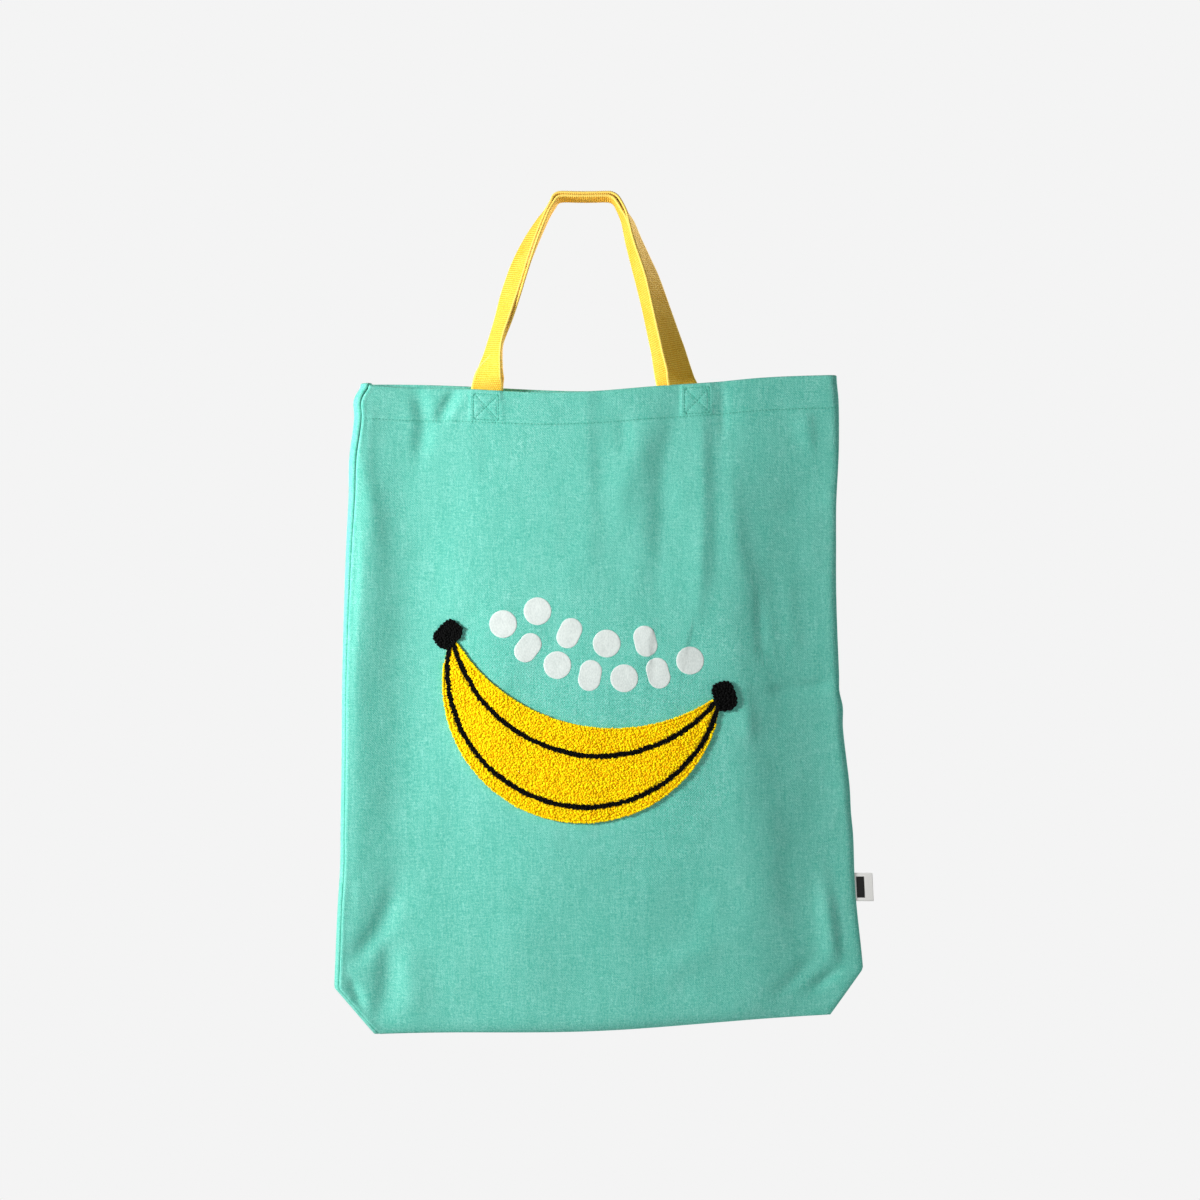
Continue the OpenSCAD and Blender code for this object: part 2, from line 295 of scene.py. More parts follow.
def strap_print(x, down, centres):
    """The swelling of a strap's sewn end seen through the panel, and the grooves its box stitching pulls."""
    out = np.zeros_like(x)
    for c in centres:
        across = smooth((STRAP_W / 2 + 1 - np.abs(x - c)) / 2)
        out += 0.75 * across * smooth((26.5 - down) / 2)
        bx, bz = np.abs(x - c) / BOX_HALF_W, np.abs(down - BOX_MID) / BOX_HALF_H
        inside = (bx < 1.1) & (bz < 1.1)
        rim = np.minimum(np.abs(bx - 1) * BOX_HALF_W, np.abs(bz - 1) * BOX_HALF_H)
        cross = np.abs(bx - bz) * 7.2
        out -= np.where(inside, 0.5 * np.exp(-(np.minimum(rim, cross) / 1.0) ** 2), 0)
    return out


def relief(x, z, down, side):
    """Height of the cloth's folds, hem and puckers over its plain form."""
    if side < 0:
        h = 1.55 * fold_height(x, z, FRONT_FOLDS)
        centres, seed = FRONT_ENDS, 3
    else:
        h = 1.4 * fold_height(x, z, BACK_FOLDS)
        centres, seed = BACK_ENDS, 11
    h = h + 0.55 * lattice_noise(x, z * 0.45, 34, seed)
    h = h + 0.22 * lattice_noise(x, z * 0.6, 13, seed + 1)
    h = h + 0.08 * lattice_noise(x, z * 0.8, 5, seed + 2)
    # The hem's inner layers push the cloth out, and the stitching pulls it in.
    h = h + 0.45 * smooth((HEM_H + 1 - down) / 3)
    pucker = 0.16 * lattice_noise(x, x * 0, 3.4, seed + 5) * bell(down, STITCH_DOWN, 5)
    h = h - 0.55 * bell(down, STITCH_DOWN, 1.1) + pucker
    h = h + 0.3 * smooth((12 - (BAG_H - down)) / 2)
    return h + strap_print(x, down, centres)


def skin(phi, f, v, inset, side):
    """Points of the skin, from arrays of one shape. phi is the angle round a side edge (90 in the middle),
    f the share across the middle, side -1 front or 1 back, and inset moves the points into the cloth."""
    xl, xr = left_x(v), right_x(v)
    depth, taper = full_depth(v)
    c = np.cos(np.radians(phi))
    lx = xl + REACH_L - (REACH_L - inset) * c
    rx = xr - REACH_R + (REACH_R - inset) * c
    mx = xl + REACH_L + f * (xr - REACH_R - xl - REACH_L)
    x = np.where(f < 0, lx, np.where(f > 1, rx, mx))
    z = plain_z(x, v, side)
    # Close to a side edge the cloth turns over a small radius. A negative phi is round on the other side.
    gap = np.where(f < 0, REACH_L, REACH_R) * (1 - c)
    s = np.where((f >= 0) & (f <= 1), 1.0, np.sqrt(1 - (1 - np.clip(gap / EDGE_R, 0, 1)) ** 2))
    s = s * np.where(phi < 0, -1.0, 1.0)
    front = (side < 0) | (phi < 0)
    full = depth * np.where(front, swell(x, v, True), swell(x, v, False))
    h = relief(x, z, v * BAG_H, side) * np.clip(np.abs(s), 0, 1) * smooth(taper * 2.2) * np.sign(s)
    y = side * (np.maximum(full - inset, 0.15) * s + h)
    return np.stack([x, y, z], -1)


def front_at(x, z, out):
    """The point out mm over the front cloth at x, z."""
    x, z = np.broadcast_arrays(np.asarray(x, float), np.asarray(z, float))
    v = (-HANG_DROP - z) / BAG_H
    for _ in range(6):
        v = v + (plain_z(x, v, -1) - z) / BAG_H
    return cloth_at(x, v, out, -1)


def cloth_at(x, v, out, side):
    v = np.clip(v, 0, 1)
    xl, xr = left_x(v), right_x(v)
    f = (x - xl - REACH_L) / (xr - REACH_R - xl - REACH_L)
    cl = np.clip((xl + REACH_L - x) / REACH_L, 0, 1)
    cr = np.clip((x - xr + REACH_R) / REACH_R, 0, 1)
    phi = np.degrees(np.arccos(np.where(f < 0, cl, np.where(f > 1, cr, 0))))
    p = skin(phi, f, v, np.zeros_like(v), side)
    e = 0.6
    # The outward normal, from two near points.
    px = skin(phi, f + e / 300 * ((f >= 0) & (f <= 1)), v, np.zeros_like(v), side)
    pv = skin(phi, f, v + e / BAG_H, np.zeros_like(v), side)
    n = np.cross(px - p, pv - p)
    flat = np.linalg.norm(n, axis=-1, keepdims=True) < 1e-9
    n = np.where(flat, np.array([0, side, 0.0]), n)
    n = unit(n)
    n = np.where(n[..., 1:2] * side < 0, -n, n)
    return p + n * out


# ------------------------------------------------------------------ mesh helpers
def make(name, verts, faces, material):
    mesh = bpy.data.meshes.new(name)
    mesh.from_pydata((np.asarray(verts, float) * MM).tolist(), [], faces)
    mesh.validate()
    bm = bmesh.new()
    bm.from_mesh(mesh)
    bmesh.ops.recalc_face_normals(bm, faces=bm.faces)
    bm.to_mesh(mesh)
    bm.free()
    mesh.shade_smooth()
    obj = bpy.data.objects.new(name, mesh)
    bpy.context.scene.collection.objects.link(obj)
    mesh.materials.append(material)
    return obj


def grid_faces(rows, cols, start=0, flip=False, wrap=False):
    out = []
    last = cols if wrap else cols - 1
    for i in range(rows - 1):
        for j in range(last):
            a, b = start + i * cols + j, start + i * cols + (j + 1) % cols
            quad = (a, b, b + cols, a + cols)
            out.append(quad[::-1] if flip else quad)
    return out


def tube_faces(rows, cols, start=0):
    """The wall of a tube of rings, and both its end caps."""
    faces = grid_faces(rows, cols, start, wrap=True)
    faces.append(tuple(start + k for k in range(cols))[::-1])
    faces.append(tuple(start + (rows - 1) * cols + k for k in range(cols)))
    return faces


def slab(outer, inner):
    """A closed sheet between two grids of points."""
    rows, cols = outer.shape[:2]
    n = rows * cols
    verts = np.concatenate([outer.reshape(-1, 3), inner.reshape(-1, 3)])
    faces = grid_faces(rows, cols) + grid_faces(rows, cols, n, True)
    for j in range(cols - 1):
        faces.append((j, n + j, n + j + 1, j + 1))
        a = (rows - 1) * cols + j
        faces.append((a, a + 1, n + a + 1, n + a))
    for i in range(rows - 1):
        a, b = i * cols, i * cols + cols - 1
        faces.append((a, a + cols, n + a + cols, n + a))
        faces.append((b, n + b, n + b + cols, b + cols))
    return verts, faces


def set_attribute(obj, name, values, kind="FLOAT"):
    a = obj.data.attributes.new(name, kind, "POINT")
    key = "value" if kind == "FLOAT" else "vector"
    a.data.foreach_set(key, np.asarray(values, np.float32).ravel())


# ------------------------------------------------------------------ materials, lengths in metres
WEAVE = 0.0019


class Nodes:
    def __init__(self, name):
        self.mat = bpy.data.materials.new(name)
        self.mat.use_nodes = True
        self.tree = self.mat.node_tree
        self.tree.nodes.clear()
        self.out = self.add("ShaderNodeOutputMaterial")
        self.bsdf = self.add("ShaderNodeBsdfPrincipled")
        self.link(self.bsdf.outputs[0], self.out.inputs[0])

    def add(self, kind, **values):
        n = self.tree.nodes.new(kind)
        for k, v in values.items():
            setattr(n, k, v)
        return n

    def link(self, a, b):
        self.tree.links.new(a, b)

    def put(self, socket, value):
        if isinstance(value, bpy.types.NodeSocket):
            self.link(value, socket)
        else:
            socket.default_value = value

    def math(self, op, a, b=0.0, c=None):
        n = self.add("ShaderNodeMath", operation=op)
        self.put(n.inputs[0], a)
        self.put(n.inputs[1], b)
        if c is not None:
            self.put(n.inputs[2], c)
        return n.outputs[0]

    def mul(self, a, b):
        return self.math("MULTIPLY", a, b)

    def mad(self, a, b, c):
        return self.math("MULTIPLY_ADD", a, b, c)

    def sine(self, value, period):
        return self.math("SINE", self.mul(value, 2 * math.pi / period))

    def place(self):
        return self.add("ShaderNodeTexCoord").outputs["Object"]

    def attribute(self, name, output):
        return self.add("ShaderNodeAttribute", attribute_name=name).outputs[output]

    def split(self, vector):
        n = self.add("ShaderNodeSeparateXYZ")
        self.link(vector, n.inputs[0])
        return n.outputs

    def noise(self, vector, scale, detail=2.0, rough=0.5):
        n = self.add("ShaderNodeTexNoise")
        self.link(vector, n.inputs["Vector"])
        n.inputs["Scale"].default_value = scale
        n.inputs["Detail"].default_value = detail
        n.inputs["Roughness"].default_value = rough
        return n.outputs["Fac"]

    def stretch(self, vector, x, y, z):
        n = self.add("ShaderNodeMapping")
        self.link(vector, n.inputs["Vector"])
        n.inputs["Scale"].default_value = (x, y, z)
        return n.outputs[0]

    def mixed(self, fac, a, b, blend="MIX"):
        n = self.add("ShaderNodeMix", data_type="RGBA", blend_type=blend)
        self.put(n.inputs[0], fac)
        self.put(n.inputs[6], a)
        self.put(n.inputs[7], b)
        return n.outputs[2]

    def ramp(self, fac, stops):
        n = self.add("ShaderNodeValToRGB")
        self.link(fac, n.inputs[0])
        r = n.color_ramp
        r.elements[0].position, r.elements[0].color = stops[0]
        r.elements[1].position, r.elements[1].color = stops[-1]
        for p, c in stops[1:-1]:
            r.elements.new(p).color = c
        return n.outputs[0]

    def bump(self, height, strength, distance):
        n = self.add("ShaderNodeBump")
        self.link(height, n.inputs["Height"])
        n.inputs["Strength"].default_value = strength
        n.inputs["Distance"].default_value = distance
        self.link(n.outputs[0], self.bsdf.inputs["Normal"])

    def finish(self, color, rough, sheen=0.0, sheen_rough=0.5, sheen_tint=(1, 1, 1, 1), specular=0.2):
        self.put(self.bsdf.inputs["Base Color"], color)
        self.put(self.bsdf.inputs["Roughness"], rough)
        self.bsdf.inputs["Sheen Weight"].default_value = sheen
        self.bsdf.inputs["Sheen Roughness"].default_value = sheen_rough
        self.bsdf.inputs["Sheen Tint"].default_value = sheen_tint
        self.bsdf.inputs["Specular IOR Level"].default_value = specular
        return self.mat


def hexcol(text, gain=1.0):
    rgb = [int(text[i:i + 2], 16) / 255 for i in (0, 2, 4)]
    lin = [c / 12.92 if c <= 0.04045 else ((c + 0.055) / 1.055) ** 2.4 for c in rgb]
    return tuple(c * gain for c in lin) + (1.0,)


def canvas_material(name, dark, mid, light):
    m = Nodes(name)
    at = m.place()
    warp = m.noise(m.stretch(at, 1, 0.35, 0.10), 900, 2.0, 0.6)
    weft = m.noise(m.stretch(at, 0.12, 0.35, 1), 880, 2.0, 0.6)
    fleck = m.noise(at, 1000, 3.0, 0.7)
    cloud = m.noise(m.stretch(at, 1, 1, 0.5), 34, 3.0, 0.55)
    streak = m.noise(m.stretch(at, 1, 0.4, 0.06), 160, 2.0, 0.5)
    heather = m.mad(fleck, 0.60, m.mad(warp, 0.17, m.mul(weft, 0.15)))
    heather = m.mad(streak, 0.06, m.mad(cloud, 0.06, heather))
    color = m.ramp(heather, [(0.41, hexcol(dark)), (0.53, hexcol(mid)), (0.65, hexcol(light))])
    # Plain weave: warp and weft pass over each other in turn.
    x, _, z = m.split(at)
    weave = m.mul(m.sine(x, WEAVE), m.sine(z, WEAVE))
    m.bump(m.mad(heather, 2.4, m.mul(weave, 0.28)), 0.55, 0.0005)
    return m.finish(color, 0.93, 0.12, 0.55, (0.82, 1.0, 0.96, 1), 0.12)


def webbing_material(name, deep, light, selvedge_highlight):
    """Its weave follows the strip: x across, y along, in metres."""
    m = Nodes(name)
    at = m.attribute("strip", "Vector")
    across, along, _ = m.split(at)
    yarn = m.mul(m.sine(across, 0.0016), m.sine(along, 0.0034))
    fleck = m.noise(m.stretch(at, 1, 0.4, 1), 1300, 2.0, 0.6)
    cloud = m.noise(at, 60, 2.0, 0.5)
    ribs = m.sine(along, RIB_PITCH * MM)
    tone = m.mad(yarn, 0.16, m.mad(fleck, 0.55, m.mul(cloud, 0.3)))
    # The ribs also shift the colour, lighter on their tops and darker between them: painted highlight and
    # painted shade.
    color = m.ramp(m.mad(ribs, 0.12, tone), [(0.22, hexcol(deep)), (0.58, hexcol(light))])
    # The rim mask lightens both edges of each face: a painted highlight along the selvedges. It also smooths
    # their bump.
    rim = m.mul(m.math("SUBTRACT", m.math("ABSOLUTE", across), 0.0110), 900)
    rim = m.math("MINIMUM", m.math("MAXIMUM", rim, 0.0), 0.6)
    color = m.mixed(rim, color, hexcol(selvedge_highlight))
    height = m.mad(yarn, 0.5, m.mad(ribs, 0.6, m.mul(fleck, 0.5)))
    # The selvedges are smooth.
    height = m.mul(m.math("SUBTRACT", height, 0.3), m.math("SUBTRACT", 1.0, m.mul(rim, 1.6)))
    m.bump(height, 0.65, 0.0004)
    return m.finish(color, 0.8, 0.04, 0.5, (1.0, 0.85, 0.45, 1), 0.14)


def thread_material(name, dark, light):
    m = Nodes(name)
    ply = m.noise(m.place(), 2400, 1.0, 0.5)
    color = m.ramp(ply, [(0.35, hexcol(dark)), (0.65, hexcol(light))])
    m.bump(ply, 0.4, 0.0002)
    return m.finish(color, 0.6, 0.1, 0.4, (1, 1, 1, 1), 0.3)


def pile_material(name, dark, light, gain=1.0, sheen=0.15):
    """Looped yarn; tone varies from loop to loop, and a low tone on the cloth under the loops is painted
    shade.
    """
    m = Nodes(name)
    tone = m.attribute("tone", "Fac")
    fuzz = m.noise(m.place(), 3200, 2.0, 0.6)
    mix = m.mad(fuzz, 0.45, m.mul(tone, 0.6))
    color = m.ramp(mix, [(0.15, hexcol(dark, gain)), (0.75, hexcol(light, gain))])
    m.bump(fuzz, 0.6, 0.0004)
    return m.finish(color, 0.9, sheen, 0.5, hexcol(light), 0.12)


def ink_material(name):
    m = Nodes(name)
    at = m.place()
    grain = m.noise(m.stretch(at, 1, 1, 0.5), 1100, 2.0, 0.6)
    worn = m.noise(at, 90, 3.0, 0.6)
    worn = m.mad(worn, 0.35, m.mul(grain, 0.65))
    color = m.ramp(worn, [(0.3, hexcol("c6d0cc")), (0.6, hexcol("dde5e1"))])
    m.bump(grain, 0.35, 0.0003)
    return m.finish(color, 0.72, 0.0, 0.5, (1, 1, 1, 1), 0.3)


def tag_material(name):
    """Woven white tag with one plain dark bar; the strip attribute has x across, y along from the seam."""
    m = Nodes(name)
    at = m.attribute("strip", "Vector")
    across, along, _ = m.split(at)
    ribs = m.sine(across, 0.0006)
    fine = m.noise(at, 2600, 2.0, 0.5)
    bar_across = m.math("LESS_THAN", m.math("ABSOLUTE", across), 0.0085)
    bar_along = m.math("LESS_THAN", m.math("ABSOLUTE", m.math("SUBTRACT", along, 0.0066)), 0.0032)
    bar = m.mul(bar_across, bar_along)
    paper = m.ramp(fine, [(0.3, hexcol("dcdcd8")), (0.7, hexcol("f2f1ee"))])
    color = m.mixed(bar, paper, hexcol("161616"))
    m.bump(m.mad(ribs, 0.5, fine), 0.3, 0.0002)
    return m.finish(color, 0.6, 0.05, 0.5, (1, 1, 1, 1), 0.3)


canvas = canvas_material("canvas", "4fb5a1", "6ec9b7", "98ddd0")
# The seam allowances inside the bag get the same canvas a little darker: painted shade.
shaded_canvas = canvas_material("canvas_seam", "45ad99", "62c2b0", "89d5c6")
# The last webbing colour is the painted highlight along the selvedges.
webbing = webbing_material("webbing", "f0b122", "ffd65a", "ffe37a")
thread = thread_material("thread", "3ba590", "69cbb6")
yellow_pile = pile_material("yellow_pile", "f4bb00", "ffe406", 1.08)
black_pile = pile_material("black_pile", "020202", "0b0b0b", 1.0, 0.01)
ink = ink_material("print_ink")
tag_cloth = tag_material("tag")


# ------------------------------------------------------------------ panels
def panel_columns(side):
    """phi and f for each column, left to right. Columns crowd at the strap ends, where the stitching is."""
    seam = SEAM_PHI if side < 0 else -SEAM_PHI
    first, second, third, count = (0.9, 2.2, 4, 15) if side < 0 else (1.2, 3, 6, 25)
    left = np.concatenate([[seam, seam + first, seam + second], np.linspace(seam + third, 90, count)[:-1]])
    right = np.concatenate([np.linspace(90, 0, 18)[1:-1], [3.0, 1.2, 0.0]])
    centres = FRONT_ENDS if side < 0 else BACK_ENDS
    a, b = -147.0, 163.0
    xs = [a]
    while xs[-1] < b:
        near = min(abs(xs[-1] + 0.5 - c) for c in centres)
        xs.append(xs[-1] + (1.15 if near < 14.5 else 2.9))
    f = (np.array(xs) - a) / (xs[-1] - a)
    phi = np.concatenate([left, np.full(len(f), 90.0), right])
    share = np.concatenate([np.full(len(left), -1.0), f, np.full(len(right), 2.0)])
    return phi, share


def panel_rows():
    down = list(np.arange(0.6, 24, 1.2)) + list(np.arange(24.2, 31, 0.85))
    while down[-1] < BAG_H - 12:
        down.append(down[-1] + 2.9)
    down += list(BAG_H - np.array([9.0, 6.5, 4.5, 3.0, 1.8, 0.9, 0.3, 0.0]))
    return np.array(down) / BAG_H


def edge_tuck(share, phi, v, side):
    """Extra inset close to a seam, where the cloth rolls in to its allowance."""
    left = np.where(share < 0, np.radians(np.abs(phi) - SEAM_PHI if side < 0 else phi + SEAM_PHI), 1.0)
    gap = np.clip(left * REACH_L * 0.55, 0, 2.2) / 2.2
    lip = 0.55 * np.exp(-((left * REACH_L * 0.55 - 2.6) / 1.3) ** 2) if side < 0 else 0
    return 1.5 * (1 - np.sqrt(1 - (1 - gap) ** 2)) - lip


def seam_shift(P, V, side):
    """The left seam lies further round the edge near the mouth, where the back panel wraps forwards."""
    more = 9 * bell(V * BAG_H, 0, 130)
    if side < 0:
        return P + more * smooth((64 - P) / 34)
    return P - more * smooth((20 - P) / 40)


def panel_grid(phi, share, rows, side):
    """phi, f and v of every point of a panel, and how far the cloth is tucked in there."""
    p, v = np.meshgrid(phi, rows)
    f, _ = np.meshgrid(share, rows)
    tuck = edge_tuck(f, p, v, side)
    return np.where(f < 0, seam_shift(p, v, side), p), f, v, tuck


def build_panel(name, side, material):
    """A panel with its hem, one closed sheet: up the outside, over the mouth's fold and down inside."""
    phi, share = panel_columns(side)
    rows = panel_rows()
    p, f, v, tuck = panel_grid(phi, share, rows, side)
    outer = skin(p, f, v, tuck, side)
    inner = skin(p, f, v, tuck + CLOTH - 0.05, side)
    top = outer[0]
    ahead = skin(p[:1], f[:1], v[:1], tuck[:1] + 2 * CLOTH + 0.05, side)[0]
    turns = [rad(a) for a in np.linspace(20, 160, 7)]
    fold = []
    for a in turns:
        w = (1 - math.cos(a)) / 2
        fold.append(top * (1 - w) + ahead * w + np.array([0, 0, 0.62]) * 1.9 * math.sin(a))
    hem_rows = np.concatenate([[rows[0]], np.linspace(0.004, 1, 14) * (HEM_H / BAG_H - rows[0]) + rows[0]])
    p, f, v, tuck = panel_grid(phi, share, hem_rows, side)
    hem_out = skin(p, f, v, tuck + 2 * CLOTH + 0.05, side)
    hem_in = skin(p, f, v, tuck + CLOTH + 0.05, side)
    wave = 0.5 * lattice_noise(hem_out[-1, :, 0], hem_out[-1, :, 0] * 0, 9, 21)
    hem_out[-1, :, 2] += wave
    hem_in[-1, :, 2] += wave
    mid = (inner[0] + hem_in[0]) / 2
    under = [mid + np.array([0, 0, 0.25 * math.sin(a)]) for a in turns]
    far = np.concatenate([outer[::-1], np.array(fold), hem_out])
    near = np.concatenate([inner[::-1], np.array(under), hem_in])
    return make(name, *slab(far, near), material)


front_cloth = build_panel("front_canvas", -1, canvas)
back_cloth = build_panel("back_canvas", 1, canvas)
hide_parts("front_panel", "front_hem")
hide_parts("back_panel", "back_hem")


# ------------------------------------------------------------------ seam allowances inside
def seam_strip(name, node, line, near, far, wave_seed):
    """A flat strip of two layers along a line of outline points, near to far inwards."""
    line = np.array(line, float)
    count = len(line)
    way = unit(np.gradient(line, axis=0))
    inward = np.stack([-way[:, 1], way[:, 0]], -1)
    run = run_length(line)
    jitter = 0.35 * lattice_noise(run, run * 0, 4.5, wave_seed)
    section = [(near, -0.55), (near + 1.2, -1.0), ((near + far) / 2, -1.05), (far - 0.8, -1.1), (far, -0.6),
               (far, 0.6), (far - 0.8, 1.1), ((near + far) / 2, 1.05), (near + 1.2, 1.0), (near, 0.55)]
    rows = []
    for k in range(count):
        ring = []
        for d, y in section:
            q = line[k] + inward[k] * (d + (jitter[k] if d > near + 2 else 0))
            puff = 1 + 0.16 * math.sin(k * 2.2) * (d > far - 1.5)
            ring.append((q[0], y * puff, q[1]))
        rows.append(ring)
    verts = np.array(rows).reshape(-1, 3)
    obj = make(name, verts, tube_faces(count, len(section)), shaded_canvas)
    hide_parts(node)
    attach(obj, "bag")
    return obj


def edge_line(u, v0, v1, count):
    v = np.linspace(v0, v1, count)
    x = left_x(v) if u < 0 else right_x(v)
    return np.stack([x, plain_z(x, v, 1)], -1)


def bottom_line(count):
    a, b = float(left_x(np.array(1.0))) + 3, float(right_x(np.array(1.0))) - 3
    x = np.linspace(a, b, count)
    return np.stack([x, plain_z(x, np.ones(count), 1) + 0.3], -1)


side_l = edge_line(-1, 0.008, FOLD_L - 0.002, 170) + [2.6, 0]
corner_l = edge_line(-1, FOLD_L, 0.998, 30) + [1.0, 0.8]
corner_r = edge_line(1, 0.998, FOLD_R, 30) + [-1.0, 0.8]
side_r = edge_line(1, FOLD_R - 0.002, 0.008, 170) - [0.8, 0]
seams = [
    seam_strip("left_side_allowance", "left_side_seam", side_l, 2.0, 10.5, 31),
    seam_strip("left_corner_allowance", "left_corner_seam", corner_l, 1.6, 9.5, 32),
    seam_strip("bottom_allowance", "bottom_seam", bottom_line(150), 1.6, 10, 33),
    seam_strip("right_corner_allowance", "right_corner_seam", corner_r, 1.6, 9.5, 34),
    seam_strip("right_side_allowance", "right_side_seam", side_r, 1.8, 10.5, 35),
]


# ------------------------------------------------------------------ stitches
def capsules(name, pairs):
    """One small thread per pair of end points, each with its outward normal."""
    rings = [(0.0, 0.55), (0.14, 0.9), (0.5, 1.1), (0.86, 0.9), (1.0, 0.55)]
    around = 6
    verts, faces = [], []
    for a, b, n in pairs:
        way = b - a
        length = np.linalg.norm(way)
        way = way / length
        side = np.cross(way, n)
        side = side / np.linalg.norm(side)
        up = np.cross(side, way)
        base = len(verts)
        for t, r in rings:
            arch = THREAD_LIFT * (1 - (2 * t - 1) ** 2)
            c = a + (b - a) * t + up * arch
            for k in range(around):
                g = 2 * math.pi * k / around
                round_it = side * math.cos(g) * THREAD_W + up * math.sin(g) * THREAD_W * 0.8
                verts.append(c + round_it * r)
        faces += tube_faces(len(rings), around, base)
    return make(name, verts, faces, thread)


def stitch_row(x0, d0, x1, d1, pitch, side, edge=0.12):
    """Stitches from (x0, d0) to (x1, d1); d is the distance below the mouth's edge."""
    length = math.hypot(x1 - x0, d1 - d0)
    count = max(2, int(round(length / pitch)))
    t0 = (np.arange(count) + edge) / count
    t1 = (np.arange(count) + 1 - edge) / count
    at = lambda t, out: cloth_at(x0 + (x1 - x0) * t, (d0 + (d1 - d0) * t) / BAG_H, out, side)
    a, b = at(t0, 0.12), at(t1, 0.12)
    n = at((t0 + t1) / 2, 1.0) - at((t0 + t1) / 2, 0.0)
    return list(zip(a, b, unit(n)))


def box_pairs(c, side):
    """A box of stitches with a cross in it, centred at c."""
    x0, x1 = c - BOX_HALF_W, c + BOX_HALF_W
    d0, d1 = BOX_MID - BOX_HALF_H, BOX_MID + BOX_HALF_H
    out = []
    for a, b in (((x0, d0), (x1, d0)), ((x1, d0), (x1, d1)), ((x1, d1), (x0, d1)), ((x0, d1), (x0, d0)),
                 ((x0, d0), (x1, d1)), ((x1, d0), (x0, d1))):
        out += stitch_row(*a, *b, 2.6, side)
    return out


bag_pieces = list(seams)
for side, word, ends in ((-1, "front", FRONT_ENDS), (1, "back", BACK_ENDS)):
    edge_v = np.array(STITCH_DOWN / BAG_H)
    xl, xr = float(left_x(edge_v)) + 9, float(right_x(edge_v)) - 2.5
    row = capsules(f"{word}_hem_thread", stitch_row(xl, STITCH_DOWN, xr, STITCH_DOWN, 2.64, side))
    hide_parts(f"{word}_hem_stitching")
    bag_pieces.append(row)
    for c, where in zip(ends, ("left", "right")):
        box = capsules(f"{word}_{where}_box_thread", box_pairs(c, side))
        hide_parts(f"{word}_{where}_box_stitch")
        bag_pieces.append(box)


# ------------------------------------------------------------------ webbing handles
def strap(name, stations, material):
    """Webbing through stations (x, y, z, turn, hold) with real cross ribs. The turn is 0 facing the front and
    90 facing outwards from the loop; the stations run from the left end to the right one."""
    s = np.array(stations, float)
    fine = spline(s, 40 * len(s))
    arc = run_length(fine[:, :3])
    count = int(arc[-1] / 0.36)
    at = np.linspace(0, arc[-1], count)
    c = np.stack([np.interp(at, arc, fine[:, k]) for k in range(5)], -1)
    way = unit(np.gradient(c[:, :3], axis=0))
    flat_way = unit(way * np.array([1, 0, 1]))
    # Near a sewn end the webbing stays square to the mouth.
    hold = c[:, 4:5]
    sign = np.where(at < arc[-1] / 2, 1.0, -1.0)[:, None]
    square = np.array([0, 0, 1.0]) * sign
    way2 = unit(flat_way * (1 - hold) + square * hold)
    out = np.stack([-way2[:, 2], np.zeros(count), way2[:, 0]], -1)
    turn = np.radians(c[:, 3])[:, None]
    front = np.array([0, -1.0, 0])
    across = np.cos(turn) * -out + np.sin(turn) * front
    face = np.cos(turn) * front + np.sin(turn) * out
    half, t = STRAP_W / 2, STRAP_T / 2
    xs = np.linspace(-1, 1, 15)
    profile = [(x, 1.0) for x in xs * 0.955] + [(1.0, 0.55), (1.012, 0.0), (1.0, -0.55)]
    profile += [(x, -1.0) for x in xs[::-1] * 0.955] + [(-1.0, -0.55), (-1.012, 0.0), (-1.0, 0.55)]
    rows = []
    strip = []
    for k in range(count):
        phase = 2 * math.pi * at[k] / RIB_PITCH
        rib = 0.08 * math.sin(phase)
        for x, y in profile:
            stagger = 0.035 * math.sin(phase + math.pi * (int(abs(x) * 7) % 2))
            thick = t + (rib + stagger if abs(y) == 1 else rib * 0.3)
            edge = 0.03 * math.sin(phase + 1.2) if abs(x) > 0.96 else 0.0
            rows.append(c[k, :3] + across[k] * (x * half + math.copysign(edge, x)) + face[k] * y * thick)
            strip.append((x * half * MM, at[k] * MM, y * t * MM))
    obj = make(name, rows, tube_faces(count, len(profile)), material)
    set_attribute(obj, "strip", strip, "FLOAT_VECTOR")
    return obj


def mouth_z(x, side):
    return -HANG_DROP + (x - HANG_SHIFT) * MOUTH_TILT - float(mouth_sag(x, side))


def inside_y(x, down, side):
    """Where a sewn end's middle lies: against the hem, inside the mouth."""
    p = cloth_at(np.array([x]), np.array([down / BAG_H]), 0.0, side)[0]
    return p[1] - side * (2 * CLOTH + STRAP_T / 2 + 0.55)


left_f, right_f = FRONT_ENDS
left_b, right_b = BACK_ENDS


def sewn(x, down, side, turn):
    return (x, inside_y(x, down, side), mouth_z(x, side) - down, turn, 1)


